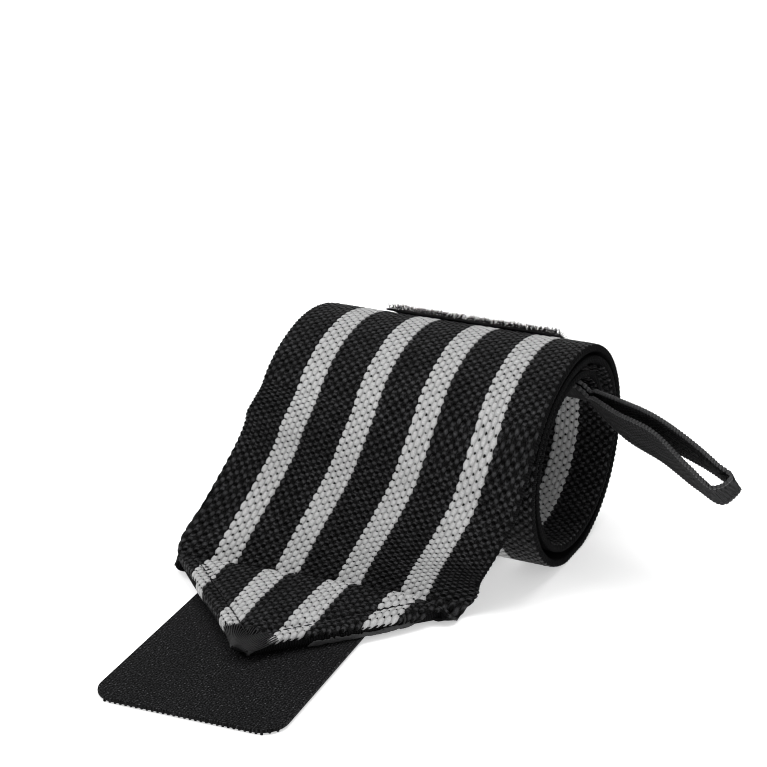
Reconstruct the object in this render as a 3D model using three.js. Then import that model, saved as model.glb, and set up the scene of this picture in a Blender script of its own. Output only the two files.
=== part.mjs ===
// A wrist wrap: a striped elastic band, loosely rolled, with its pointed free end lying in front of
// the roll on a hook tape tab, a pile patch on its back and a thumb loop sewn to its inner end.
// Millimetres, +Z up. +X runs along the roll towards the thumb loop, and the free end lies towards -Y.
// The origin is on the floor, under the middle of the roll.

import * as THREE from "three";

// The elastic band
const bandWidth = 80;
const bandThickness = 2.2;
const bandEdgeRound = 0.7;

// The roll, seen from its end
const rollDepth = 67;
const rollHeight = 58.7;
const rollFlattening = 0.4;
const layerGap = 0.4;

// The free end: from the middle of the roll to the seam, then from the seam to the tip
const seamReach = 51.5;
const sideDrift = 12.9;
const driftLength = 49;
const driftLead = 6;
const driftShear = 0.7;
const leaveSoftness = 8;
const landSoftness = 6;
const landSlope = 42;
const pointLength = 42;
const tipWidth = 10;
const tipRounding = 0.35;
const tipDrift = 2;
const seamBlend = 2.4;
const seamTurn = 5;

// The hook tape tab under the point
const tabWidth = 49;
const tabThickness = 1.4;
const tabLength = 67.3;
const tabCornerRadius = 6.5;
const tabTurn = 3.7;
const tabOverhang = 2.5;
const tabShift = -2.5;

// The pile patch on the back of the roll
const patchWidth = 50;
const patchLength = 70;
const patchThickness = 1.7;
const patchSetback = 12;
const patchShift = 2.5;

// The thumb loop
const tapeWidth = 14.5;
const tapeThickness = 1.2;
const loopRootDepth = 16;
const loopRootTurn = 746;
const loopReach = 47.5;
const loopSway = 15;
const loopDrop = 11;
const loopOpening = 4.5;
const loopTwist = 27;

// Clearance between pieces that are sewn or rest together
const seatGap = 0.3;

// How finely the curved stretches are divided
const turnStep = 9;
const rampSteps = 12;
const pointSteps = 7;

// The windings, from where the free end leaves the roll to the inner end. turn is the angle round the
// roll from its top, growing over the back; inset is the depth below the outer face, in layers.
const windings = [
  { turn: -85, inset: -0.72 },
  { turn: -50, inset: -0.35 },
  { turn: -20, inset: 0 },
  { turn: 0, inset: 0 },
  { turn: 180, inset: 0 },
  { turn: 270, inset: 0.35 },
  { turn: 335, inset: 1.08 },
  { turn: 360, inset: 1.15 },
  { turn: 450, inset: 1.1 },
  { turn: 540, inset: 1.5 },
  { turn: 630, inset: 1.55 },
  { turn: 720, inset: 2.25 },
  { turn: 768, inset: 3.8 },
];

// The thumb loop from its root to its tip. out, sway and drop are shares of loopReach, loopSway and
// loopDrop; opening is the distance between the two legs as a share of loopOpening.
const loopRows = [
  { out: 0, sway: 0, drop: 0, opening: 0 },
  { out: 0.1, sway: 0.02, drop: 0.2, opening: 0.4 },
  { out: 0.28, sway: 0.16, drop: 0.42, opening: 0.82 },
  { out: 0.52, sway: 0.42, drop: 0.55, opening: 0.9 },
  { out: 0.76, sway: 0.71, drop: 0.74, opening: 1 },
  { out: 0.92, sway: 0.91, drop: 0.92, opening: 0.75 },
];

const layerStep = bandThickness + layerGap;
const halfDepth = rollDepth / 2;
const halfHeight = (rollHeight + rollFlattening) / 2;
const rollMiddle = halfHeight - rollFlattening;
const radians = THREE.MathUtils.degToRad;

// The value of a table's column at a place along it, on a curve that never overshoots its rows.
function tableValue(rows, along, column, at) {
  const last = rows.length - 2;
  let i = 0;
  while (i < last && at > rows[i + 1][along]) i += 1;
  const span = (k) => rows[k + 1][along] - rows[k][along];
  const slope = (k) => (rows[k + 1][column] - rows[k][column]) / span(k);
  const bend = (k) => {
    if (k === 0) return slope(0);
    if (k === rows.length - 1) return slope(k - 1);
    const [before, after] = [slope(k - 1), slope(k)];
    return before * after <= 0 ? 0 : (2 * before * after) / (before + after);
  };
  const t = THREE.MathUtils.clamp((at - rows[i][along]) / span(i), 0, 1);
  const [t2, t3] = [t * t, t * t * t];
  return (
    (2 * t3 - 3 * t2 + 1) * rows[i][column] +
    (t3 - 2 * t2 + t) * span(i) * bend(i) +
    (3 * t2 - 2 * t3) * rows[i + 1][column] +
    (t3 - t2) * span(i) * bend(i + 1)
  );
}

// A point of the band's outer face on the roll, in the plane across the roll's axis.
function rollPoint(turn) {
  const depth = tableValue(windings, "turn", "inset", turn) * layerStep;
  const angle = radians(turn);
  const height = rollMiddle + (halfHeight - depth) * Math.cos(angle);
  return new THREE.Vector3(0, (halfDepth - depth) * Math.sin(angle), Math.max(height, 0));
}

// The way the band runs on the roll, towards its inner end.
function rollRun(turn) {
  const step = 0.5;
  return rollPoint(turn + step).sub(rollPoint(turn - step)).normalize();
}

// A section of a ribbon: a point of its upper face, the ways along, across and out of that face, half
// the width and the thickness there, how far its two edges sag, and how square its width is set.
function section(point, run, across, half, thickness, sag = 0, square = 1) {
  const along = run.clone().normalize();
  const side = across.clone().addScaledVector(along, -square * across.dot(along)).normalize();
  const out = side.clone().cross(along).normalize();
  return { point, side, out, half, thickness, sag };
}

// The outline of a section, clockwise seen along the run: across the top, down, back and up. Each
// corner is an arc. The stretch over the tab stays level, and the edges beyond it can sag.
function sectionOutline({ half, thickness, sag }) {
  const round = Math.min(bandEdgeRound, thickness * 0.45);
  const flat = half - round;
  const level = Math.min(tabWidth / 2 + tabOverhang, flat * 0.9);
  const outline = [];
  for (const [side, under] of [[1, 0], [1, 1], [-1, 1], [-1, 0]]) {
    const start = side > 0 ? 90 - 90 * under : 180 + 90 * under;
    const height = under ? round - thickness : -round;
    for (const turn of [0, 45, 90]) {
      const angle = radians(start - turn);
      outline.push([side * flat + round * Math.cos(angle), height + round * Math.sin(angle) - sag]);
    }
    const beforeFlat = side > 0 ? under === 1 : under === 0;
    for (const share of beforeFlat ? [1, 1 / 3, -1 / 3, -1] : []) {
      outline.push([side * level * share, -thickness * under]);
    }
  }
  return outline;
}

// A closed solid lofted through sections of one ribbon.
function ribbonGeometry(sections) {
  const positions = [];
  const faces = [];
  const rings = sections.map((each) =>
    sectionOutline(each).map(([u, h]) =>
      each.point.clone().addScaledVector(each.side, u).addScaledVector(each.out, h),
    ),
  );
  const size = rings[0].length;
  rings.forEach((ring) => ring.forEach((corner) => positions.push(...corner.toArray())));
  for (let i = 0; i + 1 < rings.length; i += 1) {
    for (let j = 0; j < size; j += 1) {
      const [a, b] = [i * size + j, i * size + ((j + 1) % size)];
      faces.push(a, b, b + size, a, b + size, a + size);
    }
  }
  for (const end of [0, rings.length - 1]) {
    const middle = new THREE.Vector3();
    rings[end].forEach((corner) => middle.addScaledVector(corner, 1 / size));
    const centre = positions.length / 3;
    positions.push(...middle.toArray());
    for (let j = 0; j < size; j += 1) {
      const [a, b] = [end * size + j, end * size + ((j + 1) % size)];
      faces.push(...(end === 0 ? [centre, b, a] : [centre, a, b]));
    }
  }
  const geometry = new THREE.BufferGeometry();
  geometry.setAttribute("position", new THREE.Float32BufferAttribute(positions, 3));
  geometry.setIndex(faces);
  geometry.computeVertexNormals();
  return geometry;
}

function ribbonMesh(name, sections, material) {
  const mesh = new THREE.Mesh(ribbonGeometry(sections), material);
  mesh.name = name;
  return mesh;
}

// The band's upper face from the tip of the point to the inner end on the roll, as if nothing drifted
// sideways: a place, the way the band runs there, half its width and its thickness.
function bandStations() {
  const forward = new THREE.Vector3(0, 1, 0);
  const singleTop = tabThickness + seatGap + bandThickness;
  const doubleTop = singleTop + bandThickness;
  const stations = [
    {
      point: new THREE.Vector3(0, -seamReach - pointLength - bandThickness / 2, doubleTop - bandThickness / 2),
      run: forward,
      half: tipWidth * tipRounding,
      thickness: bandThickness,
    },
  ];
  for (let k = 0; k <= pointSteps; k += 1) {
    const share = k / pointSteps;
    stations.push({
      point: new THREE.Vector3(0, -seamReach - pointLength + (pointLength - seamBlend) * share, doubleTop),
      run: forward,
      half: (tipWidth + (bandWidth - tipWidth) * share) / 2,
      thickness: 2 * bandThickness,
    });
  }
  const sideways = new THREE.Vector3(1, 0, 0);
  const leaving = windings[0].turn;
  const leavePoint = rollPoint(leaving);
  const seam = new THREE.Vector3(0, -seamReach, singleTop);
  const ramp = new THREE.CubicBezierCurve3(
    seam,
    seam.clone().add(new THREE.Vector3(0, landSoftness, 0).applyAxisAngle(sideways, radians(landSlope))),
    leavePoint.clone().addScaledVector(rollRun(leaving), -leaveSoftness),
    leavePoint,
  );
  for (let k = 0; k < rampSteps; k += 1) {
    const share = k / rampSteps;
    stations.push({
      point: ramp.getPoint(share),
      run: ramp.getTangent(share),
      half: bandWidth / 2,
      thickness: bandThickness,
    });
  }
  const innerEnd = windings[windings.length - 1].turn;
  const turns = Math.ceil((innerEnd - leaving) / turnStep);
  for (let k = 0; k <= turns; k += 1) {
    const turn = leaving + ((innerEnd - leaving) * k) / turns;
    stations.push({
      point: rollPoint(turn),
      run: rollRun(turn),
      half: bandWidth / 2,
      thickness: bandThickness,
    });
  }
  return stations;
}

// How far the band's middle lies sideways, by the length from the seam towards the roll.
function sideOffset(along) {
  const settled = 1 - THREE.MathUtils.smoothstep(along, -driftLead, driftLength);
  return -sideDrift * settled - (tipDrift * Math.min(along, 0)) / pointLength;
}

// The band's sections. Beside the sideways drift, its width is turned a little where the seam lies.
function bandSections() {
  const stations = bandStations();
  const upright = new THREE.Vector3(0, 0, 1);
  const seamIndex = pointSteps + 2;
  const lengths = [0];
  for (let i = 1; i < stations.length; i += 1) {
    lengths.push(lengths[i - 1] + stations[i].point.distanceTo(stations[i - 1].point));
  }
  return stations.map(({ point, run, half, thickness }, i) => {
    const along = lengths[i] - lengths[seamIndex];
    const fade = along < 0 ? 1 + along / pointLength : 1 - THREE.MathUtils.smoothstep(along, 0, driftLength / 2);
    const across = new THREE.Vector3(1, 0, 0).applyAxisAngle(upright, radians(seamTurn) * Math.max(fade, 0));
    const drifted = point.clone().setX(sideOffset(along));
    const drift = sideOffset(along + 0.5) - sideOffset(along - 0.5);
    const lowered = 1 - THREE.MathUtils.smoothstep(Math.max(along, 0), 0, driftLength / 2);
    const beyondTab = THREE.MathUtils.smoothstep(half, tabWidth / 2 + 2 * tabOverhang, bandWidth / 2);
    const sag = tabThickness * lowered * beyondTab;
    const square = driftShear * (1 - lowered);
    return section(drifted, run.clone().setX(drift), across, half, thickness, sag, square);
  });
}

function makeBand() {
  const knit = new THREE.MeshStandardMaterial({ color: 0x1c1c1e, roughness: 0.9, metalness: 0 });
  return ribbonMesh("band", bandSections(), knit);
}

// The tab is flat on the floor; its back edge is square and lies under the seam.
function makeHookTab() {
  const half = tabWidth / 2;
  const round = tabCornerRadius;
  const outline = new THREE.Shape();
  outline.moveTo(-half, 0);
  outline.lineTo(-half, round - tabLength);
  outline.absarc(round - half, round - tabLength, round, Math.PI, 1.5 * Math.PI);
  outline.absarc(half - round, round - tabLength, round, 1.5 * Math.PI, 2 * Math.PI);
  outline.lineTo(half, 0);
  const geometry = new THREE.ExtrudeGeometry(outline, {
    depth: tabThickness,
    bevelEnabled: false,
    curveSegments: 6,
  });
  const weave = new THREE.MeshStandardMaterial({ color: 0x161617, roughness: 0.8, metalness: 0 });
  const mesh = new THREE.Mesh(geometry, weave);
  mesh.name = "hook_tab";
  mesh.position.set(tabShift - sideDrift, -seamReach - seamBlend, 0);
  mesh.rotation.z = radians(tabTurn);
  return mesh;
}

// The turn at which a given length of the outer face has passed since a first turn.
function turnAfter(start, length) {
  let turn = start;
  let passed = 0;
  while (passed < length) {
    passed += rollPoint(turn).distanceTo(rollPoint(turn + 1));
    turn += 1;
  }
  return turn;
}

function makeLoopPatch() {
  const start = turnAfter(0, patchSetback);
  const end = turnAfter(start, patchLength);
  const steps = Math.ceil((end - start) / turnStep);
  const sections = [];
  for (let k = 0; k <= steps; k += 1) {
    const turn = start + ((end - start) * k) / steps;
    const run = rollRun(turn);
    const across = new THREE.Vector3(1, 0, 0);
    const out = across.clone().cross(run);
    const point = rollPoint(turn).addScaledVector(out, seatGap + patchThickness).setX(patchShift);
    sections.push(section(point, run, across, patchWidth / 2, patchThickness));
  }
  const pile = new THREE.MeshStandardMaterial({ color: 0x1a1a1b, roughness: 1, metalness: 0 });
  return ribbonMesh("loop_patch", sections, pile);
}

// How deep the band's inner face stands, at most, across the flat tape that is sewn to it.
function seatDepth(run, inward) {
  const innerEnd = windings[windings.length - 1].turn;
  const seat = rollPoint(loopRootTurn);
  let depth = bandThickness;
  for (let turn = innerEnd - 90; turn <= innerEnd; turn += 1) {
    const thickness = rollRun(turn).cross(new THREE.Vector3(1, 0, 0)).multiplyScalar(bandThickness);
    const place = rollPoint(turn).add(thickness).sub(seat);
    if (Math.abs(place.dot(run)) < tapeWidth / 2) depth = Math.max(depth, place.dot(inward));
  }
  return depth;
}

// The loop's tape: out along one leg, round the tip and back along the other. The legs lie flat on
// each other where they are sewn to the inner face of the band's end, and part beyond the root.
function makeThumbLoop() {
  const run = rollRun(loopRootTurn);
  const inward = run.clone().cross(new THREE.Vector3(1, 0, 0));
  const seat = rollPoint(loopRootTurn).addScaledVector(inward, seatDepth(run, inward) + 1.5 * seatGap);
  const legsApart = tapeThickness + seatGap;
  const rows = [{ out: -loopRootDepth / loopReach, sway: 0, drop: 0, opening: 0 }, ...loopRows];
  const middles = rows.map(({ out, sway, drop, opening }) => {
    const apart = Math.max(loopOpening * opening, legsApart);
    const middle = seat.clone().addScaledVector(inward, (tapeThickness + apart) / 2 + 0.001);
    middle.x = bandWidth / 2 - 3 + out * loopReach;
    middle.y -= sway * loopSway;
    middle.z -= drop * loopDrop;
    return { middle, apart };
  });
  const tip = seat.clone().addScaledVector(inward, (tapeThickness + legsApart) / 2);
  tip.x = bandWidth / 2 - 3 + loopReach;
  tip.y -= loopSway;
  tip.z -= loopDrop;
  const farLeg = middles.map(({ middle, apart }) => middle.clone().addScaledVector(inward, -apart / 2));
  const nearLeg = middles.map(({ middle, apart }) => middle.clone().addScaledVector(inward, apart / 2));
  const path = new THREE.CatmullRomCurve3([...farLeg, tip, ...nearLeg.reverse()], false, "centripetal");
  const steps = 40;
  const sections = [];
  for (let k = 0; k <= steps; k += 1) {
    const along = path.getTangentAt(k / steps);
    const middle = path.getPointAt(k / steps);
    const outside = THREE.MathUtils.clamp((middle.x - bandWidth / 2) / loopReach, 0, 1);
    const twist = new THREE.Vector3(-1, 0, 0);
    const across = run.clone().applyAxisAngle(twist, radians(loopTwist) * Math.sqrt(outside));
    across.addScaledVector(along, -across.dot(along)).normalize();
    const out = across.clone().cross(along).normalize();
    const point = middle.addScaledVector(out, tapeThickness / 2);
    sections.push({ point, side: across, out, half: tapeWidth / 2, thickness: tapeThickness, sag: 0 });
  }
  const webbing = new THREE.MeshStandardMaterial({ color: 0x202022, roughness: 0.75, metalness: 0 });
  return ribbonMesh("thumb_loop", sections, webbing);
}

const wristWrap = new THREE.Group();
wristWrap.add(makeBand(), makeHookTab(), makeLoopPatch(), makeThumbLoop());

export default wristWrap;
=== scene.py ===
"""A striped elastic wrist wrap, loosely rolled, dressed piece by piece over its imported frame."""

import math

import bmesh
import bpy
import numpy as np
from mathutils import Matrix, Vector


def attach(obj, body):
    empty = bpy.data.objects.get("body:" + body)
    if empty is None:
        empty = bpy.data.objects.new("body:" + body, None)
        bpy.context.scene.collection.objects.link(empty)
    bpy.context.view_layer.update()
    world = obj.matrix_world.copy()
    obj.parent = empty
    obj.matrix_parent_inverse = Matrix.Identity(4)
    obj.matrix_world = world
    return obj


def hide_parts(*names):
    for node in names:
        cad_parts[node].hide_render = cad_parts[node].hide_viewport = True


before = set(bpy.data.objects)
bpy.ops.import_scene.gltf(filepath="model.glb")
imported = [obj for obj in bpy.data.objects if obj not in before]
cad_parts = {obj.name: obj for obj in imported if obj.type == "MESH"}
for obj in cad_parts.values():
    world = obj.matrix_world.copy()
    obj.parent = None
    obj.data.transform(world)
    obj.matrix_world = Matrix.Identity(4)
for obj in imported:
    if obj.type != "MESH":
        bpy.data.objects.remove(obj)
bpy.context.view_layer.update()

bl_info = {
    "name": "Wrist wrap dressing",
    "version": (1, 0, 0),
    "blender": (4, 5, 0),
    "location": "View3D > Sidebar > Wrist wrap",
    "description": "Builds the knit, tapes, pile and sewing of a rolled wrist wrap over its frame",
    "category": "Object",
}

MM = 0.001
KNIT_UV = "flat"

# The steps that the paths are worked out in: along the cloth, and round the roll in degrees.
PATH_STEP = 0.4 * MM
TURN_STEP = 0.5

# Turns of the roll, in degrees, between which the faces of the knit show their stitches.
OUTER_END = 290
SLOPE_END = -75
LAST_WINDING_START = 400
LAST_WINDING_END = 767

# Where the seam's sewing lies along the band, just below its step, and the pitch of all sewing.
SEAM_LINE = -0.6 * MM
SEWING_PITCH = 2.6 * MM
SEWING_STITCH = 2.2 * MM


# Properties


def length(name, default, description):
    """A length in metres that the sidebar shows with its unit."""
    return bpy.props.FloatProperty(
        name=name, description=description, default=default, unit="LENGTH", precision=5
    )


def share(name, default, description):
    """A plain number, such as a share of another size."""
    return bpy.props.FloatProperty(name=name, description=description, default=default)


def degrees(name, default, description):
    """An angle that is written in degrees and held in radians."""
    return bpy.props.FloatProperty(
        name=name, description=description, default=math.radians(default), subtype="ANGLE"
    )


def colour(name, default, description):
    """A linear colour that the sidebar shows as a swatch."""
    return bpy.props.FloatVectorProperty(
        name=name, description=description, default=default, size=3, subtype="COLOR", min=0, max=1
    )


class WrapSizes(bpy.types.PropertyGroup):
    """The wrap's sizes. The tip and the loop's drop are fitted a little closer here than in the frame."""

    band_width: length("Band width", 0.080, "Width of the elastic band")
    band_thickness: length("Band thickness", 0.0022, "Thickness of the elastic band")
    roll_depth: length("Roll depth", 0.067, "Size of the roll from front to back")
    roll_height: length("Roll height", 0.0587, "Height of the roll")
    roll_flattening: length("Roll flattening", 0.0004, "How far the roll's underside is pressed flat")
    layer_gap: length("Layer gap", 0.0004, "Gap between two layers of the roll")
    seam_reach: length("Seam reach", 0.0515, "From the middle of the roll to the seam")
    side_drift: length("Side drift", 0.0129, "How far the free end lies to one side")
    drift_length: length("Drift length", 0.049, "Length over which the band drifts sideways")
    drift_lead: length("Drift lead", 0.006, "Where the drift starts, before the seam")
    drift_shear: share("Drift shear", 0.7, "How square the band's width is set as it drifts")
    leave_softness: length("Leave softness", 0.008, "How softly the band leaves the roll")
    land_softness: length("Land softness", 0.006, "How softly the slope lands at the seam")
    land_slope: degrees("Land slope", 42, "Slope of the band above the seam")
    point_length: length("Point length", 0.0398, "From the seam to the tip")
    tip_width: length("Tip width", 0.0080, "Width of the blunt tip")
    tip_drift: length("Tip drift", 0.0016, "How far the tip lies to one side of the seam")
    seam_blend: length("Seam blend", 0.0024, "Length over which two layers become one")
    seam_turn: degrees("Seam turn", 5, "How far the seam is turned from the roll's axis")
    seat_gap: length("Seat gap", 0.0003, "Gap between pieces that are sewn together")
    tab_width: length("Tab width", 0.049, "Width of the hook tape tab")
    tab_thickness: length("Tab thickness", 0.0014, "Thickness of the tab with its hooks")
    tab_length: length("Tab length", 0.0673, "Length of the hook tape tab")
    tab_corner: length("Tab corner", 0.0065, "Radius of the tab's front corners")
    tab_turn: degrees("Tab turn", 3.7, "How far the tab is turned from straight ahead")
    tab_overhang: length("Tab overhang", 0.0025, "Level stretch of the band beside the tab")
    tab_shift: length("Tab shift", -0.0025, "How far the tab lies off the band's middle")
    hook_height: length("Hook height", 0.0005, "Height of the hooks under the tab")
    hook_pitch: length("Hook pitch", 0.0014, "Distance between two hooks")
    patch_width: length("Patch width", 0.050, "Width of the pile patch")
    patch_length: length("Patch length", 0.070, "Length of the pile patch")
    patch_thickness: length("Patch thickness", 0.0017, "Thickness of the pile patch")
    patch_setback: length("Patch setback", 0.012, "From the top of the roll to the patch")
    patch_shift: length("Patch shift", 0.0025, "How far the patch lies off the roll's middle")
    pile_height: length("Pile height", 0.0015, "Height of the pile above its backing")
    tape_width: length("Tape width", 0.0145, "Width of the thumb loop's tape")
    tape_thickness: length("Tape thickness", 0.0012, "Thickness of the thumb loop's tape")
    root_depth: length("Root depth", 0.016, "How far the tape's ends are sewn into the roll")
    root_turn: degrees("Root turn", 746, "Angle round the roll where the tape is sewn")
    loop_reach: length("Loop reach", 0.0475, "How far the loop stands out of the roll")
    loop_sway: length("Loop sway", 0.015, "How far the loop's tip lies to the front")
    loop_drop: length("Loop drop", 0.0122, "How far the loop's tip hangs down")
    loop_opening: length("Loop opening", 0.0045, "Largest gap between the two legs")
    loop_twist: degrees("Loop twist", 27, "How far the tape twists towards the tip")
    rib_pitch: length("Rib pitch", 0.0011, "Distance between two ribs of the tape")
    rib_height: length("Rib height", 0.00018, "Height of a rib of the tape")
    tip_pinch: share("Tip pinch", 0.3, "How much narrower the tape is drawn together round the tip")
    edge_pitch: length("Edge pitch", 0.0010, "Distance between two strands of the tape's braided edges")
    row_pitch: length("Row pitch", 0.00133, "Distance between two rows of stitches across")
    stitch_pitch: length("Stitch pitch", 0.0027, "Length of one stitch along its row")
    stitch_length: length("Stitch half length", 0.00158, "Half the length of a stitch's mound")
    stitch_width: length("Stitch half width", 0.00100, "Half the width of a stitch's mound")
    stitch_height: length("Stitch height", 0.00050, "Height of a stitch's mound")
    gather_share: share("Gather share", 0.7, "Stitch length on the slope as a share of that on the roll")
    gather_start: length("Gather start", 0.034, "Length from the seam where the gathering starts to fade")
    gather_end: length("Gather end", 0.062, "Length from the seam where the gathering has faded")
    selvage: length("Selvage", 0.0006, "Width of the plain selvage along both edges")
    knit_inset: length("Knit inset", 0.0004, "Depth of the ground under the band's faces")
    thread_radius: length("Thread radius", 0.0002, "Radius of the sewing thread")
    hem_inset: length("Hem inset", 0.0048, "From a folded edge to its line of sewing")
    corner_softness: length("Corner softness", 0.0048, "How softly the sides turn into the point")
    side_fall: length("Side fall", 0.0008, "How far the fold hangs lower beside the tab")
    corner_flare: length("Corner flare", 0.0032, "How far the knit spreads at the two seam corners")
    tack_depth: length("Tack depth", 0.0072, "How far the satin stitches reach in from the tip")
    tack_pitch: length("Tack pitch", 0.00082, "Distance between two satin stitches")
    backing: length("Backing", 0.0006, "Thickness of the pile patch's backing")
    fibre_radius: length("Fibre radius", 0.00008, "Radius of a pile fibre at its root")


class WrapColours(bpy.types.PropertyGroup):
    """The colours of the yarns, tapes and floor."""

    black_yarn: colour("Black yarn", (0.0115, 0.0115, 0.012), "Main colour of the knit")
    grey_yarn: colour("Grey yarn", (0.53, 0.53, 0.53), "Colour of the four stripes")
    ground: colour("Ground", (0.0036, 0.0036, 0.0038), "Colour between the stitches")
    hook_tape: colour("Hook tape", (0.0072, 0.0072, 0.0076), "Colour of the hook tape")
    pile: colour("Pile", (0.007, 0.007, 0.0074), "Colour of the pile patch")
    # The braided edges are lighter than the webbing: a painted highlight along the tape's raised edges.
    edge: colour("Webbing edge", (0.032, 0.032, 0.033), "Colour of the thumb loop's braided edges")
    webbing: colour("Webbing", (0.0105, 0.0105, 0.011), "Colour of the thumb loop")
    thread: colour("Thread", (0.008, 0.008, 0.0085), "Colour of the sewing thread")
    satin: colour("Satin thread", (0.0085, 0.0085, 0.009), "Colour of the satin stitches at the tip")
    cut_edge: colour("Cut edge", (0.028, 0.028, 0.029), "Colour of the frayed edge under the fold")
    floor: colour("Floor", (0.93, 0.93, 0.93), "Colour of the floor")


# The windings, from where the free end leaves the roll to the inner end: the angle round the roll from
# its top, in degrees, growing over the back, and the depth below the outer face, in layers.
WINDINGS = (
    (-85, -0.72),
    (-50, -0.35),
    (-20, 0),
    (0, 0),
    (180, 0),
    (270, 0.35),
    (335, 1.08),
    (360, 1.15),
    (450, 1.1),
    (540, 1.5),
    (630, 1.55),
    (720, 2.25),
    (768, 3.8),
)

# The thumb loop from its root to its tip: shares of its reach, sway, drop and opening.
LOOP_ROWS = (
    (0, 0, 0, 0),
    (0.1, 0.02, 0.2, 0.4),
    (0.28, 0.16, 0.36, 0.78),
    (0.52, 0.42, 0.5, 0.9),
    (0.76, 0.71, 0.72, 1.35),
    (0.92, 0.91, 0.94, 1.25),
)

# Rows of stitches on each side of the band's middle: the black and the grey groups.
GREY_GROUPS = ((-22, 5), (-9, 5), (4, 5), (17, 5))
BLACK_GROUPS = ((-30, 8), (-17, 8), (-4, 8), (9, 8), (22, 8))


# The path of the band


def smooth(x, low, high):
    """Rises softly from 0 at low to 1 at high."""
    t = np.clip((np.asarray(x, float) - low) / (high - low), 0, 1)
    return t * t * (3 - 2 * t)


def hill(x, middle, spread):
    """A soft hill of height 1 round a middle."""
    return np.exp(-(((x - middle) / spread) ** 2))


def unit(rows):
    """Directions of length 1."""
    return rows / np.linalg.norm(rows, axis=-1, keepdims=True)


def table_value(rows, at):
    """A table's second column at places along its first, on a curve that never overshoots its rows."""
    x, y = np.array(rows, float).T
    span = np.diff(x)
    slope = np.diff(y) / span
    bend = np.zeros(len(x))
    bend[0], bend[-1] = slope[0], slope[-1]
    for k in range(1, len(x) - 1):
        before, after = slope[k - 1], slope[k]
        if before * after > 0:
            bend[k] = 2 * before * after / (before + after)
    i = np.clip(np.searchsorted(x, at) - 1, 0, len(x) - 2)
    t = np.clip((at - x[i]) / span[i], 0, 1)
    rise = (2 * t**3 - 3 * t**2 + 1) * y[i] + (3 * t**2 - 2 * t**3) * y[i + 1]
    return rise + (t**3 - 2 * t**2 + t) * span[i] * bend[i] + (t**3 - t**2) * span[i] * bend[i + 1]


def roll_point(size, turn):
    """Points (y, z) of the band's outer face on the roll."""
    depth = table_value(WINDINGS, turn) * (size.band_thickness + size.layer_gap)
    angle = np.radians(turn)
    tall = (size.roll_height + size.roll_flattening) / 2
    height = tall - size.roll_flattening + (tall - depth) * np.cos(angle)
    return np.stack([(size.roll_depth / 2 - depth) * np.sin(angle), np.maximum(height, 0)], -1)


def roll_run(size, turn):
    """The way (y, z) in which the band runs at a turn of the roll."""
    return unit(roll_point(size, turn + TURN_STEP) - roll_point(size, turn - TURN_STEP))


def roll_arc(size, last):
    """The length of the band on the roll, from where it leaves it to a turn."""
    turns = np.arange(WINDINGS[0][0], last + 0.01, TURN_STEP)
    return np.linalg.norm(np.diff(roll_point(size, turns), axis=0), axis=1).sum()


class Ribbon:
    """A cloth's path: for each length s a place, its ways across and out, half its width and more."""

    def __init__(self, s, place, side, out, half, thick, sag, flare=None):
        self.s, self.place, self.side, self.out = s, place, side, out
        self.half, self.thick, self.sag = half, thick, sag
        self.flare = 0 * s if flare is None else flare

    def at(self, rows, s):
        """A row quantity at lengths s."""
        rows = np.asarray(rows)
        if rows.ndim == 1:
            return np.interp(s, self.s, rows)
        return np.stack([np.interp(s, self.s, rows[:, k]) for k in range(3)], -1)

    def lay(self, flat):
        """Flat points (across u, along s, height h) as they lie on the path."""
        u, s, h = np.asarray(flat, float).T
        place, side, out = (self.at(rows, s) for rows in (self.place, self.side, self.out))
        u = u + np.sign(u) * self.at(self.flare, s) * (np.abs(u) / self.half.max()) ** 4
        return place + unit(side) * u[:, None] + unit(out) * h[:, None]


def band_profile(size):
    """The band's side view (y, z) at even lengths s, from its tip over the slope and round the roll."""
    single = size.tab_thickness + size.seat_gap + size.band_thickness
    double = single + size.band_thickness
    y = np.linspace(-size.seam_reach - size.point_length - size.band_thickness, -size.seam_reach, 200)
    z = single + (double - single) * (1 - smooth(y + size.seam_reach, -size.seam_blend, 0))
    point = np.stack([y, z], -1)
    leave = WINDINGS[0][0]
    seam = np.array([-size.seam_reach, single])
    lead = np.array([math.cos(size.land_slope), math.sin(size.land_slope)]) * size.land_softness
    end = roll_point(size, np.array([leave]))[0]
    back = roll_run(size, np.array([leave]))[0] * size.leave_softness
    t = np.linspace(0, 1, 160)[1:-1, None]
    ramp = (1 - t) ** 3 * seam + 3 * (1 - t) ** 2 * t * (seam + lead)
    ramp = ramp + 3 * (1 - t) * t**2 * (end - back) + t**3 * end
    roll = roll_point(size, np.arange(leave, WINDINGS[-1][0] + 0.01, TURN_STEP))
    rows = np.vstack([point, ramp, roll])
    run = np.r_[0, np.cumsum(np.linalg.norm(np.diff(rows, axis=0), axis=1))]
    run = run - run[len(point) - 1]
    s = np.arange(run[0], run[-1], PATH_STEP)
    return s, np.stack([np.interp(s, run, rows[:, k]) for k in range(2)], -1)


def band_offset(size, s):
    """How far the band's middle lies to one side at lengths s."""
    settled = 1 - smooth(s, -size.drift_lead, size.drift_length)
    return -size.side_drift * settled - size.tip_drift * np.minimum(s, 0) / size.point_length


def past_tip(size, s):
    """How far a length s is on the rounding in front of the tip, from 0 to 1."""
    return np.clip(-(s + size.point_length) / size.band_thickness, 0, 1)


def band_half(size, s):
    """Half the band's width at lengths s: the point tapers to a blunt, softened tip."""
    rounded_end = 0.35
    soft = size.corner_softness
    before_corner = soft * np.logaddexp(0, -(s + size.seam_blend) / soft)
    taper = 1 - np.clip(before_corner / (size.point_length - size.seam_blend), 0, 1)
    half = (size.tip_width + (size.band_width - size.tip_width) * taper) / 2
    return half - past_tip(size, s) * (0.5 - rounded_end) * size.tip_width


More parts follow.
